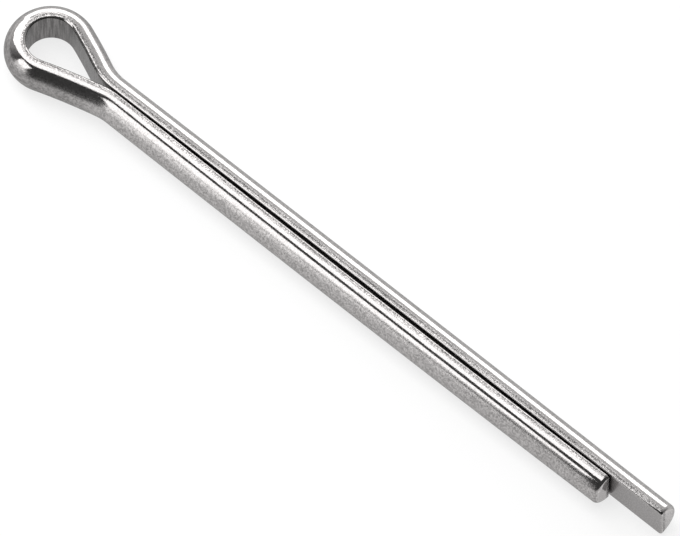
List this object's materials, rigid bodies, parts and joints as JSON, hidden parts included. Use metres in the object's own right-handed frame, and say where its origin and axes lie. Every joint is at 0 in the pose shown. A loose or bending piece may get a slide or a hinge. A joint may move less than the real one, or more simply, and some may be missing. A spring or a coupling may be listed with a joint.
{
  "type": "cotter pin",
  "caption": "Split pin folded from half-round steel wire: a teardrop eye and two close legs, one left longer, pushed through a cross hole and spread to lock a nut or clevis pin.",
  "frame": {"origin": "on the shank's axis, at the narrowest point of the neck where the legs leave the eye", "axes": "+X along the shank towards the tips, with the eye towards -X; the flats face +Y and -Y, with the longer leg on the +Y side; +Z across the width of the wire"},
  "size_m": [0.0901, 0.0098, 0.0044],
  "materials": {
    "steel": "bright drawn steel with a thin zinc coating, fine grain along the wire"
  },
  "bodies": {
    "root": {"split_pin": "steel"}
  },
  "joints": []
}
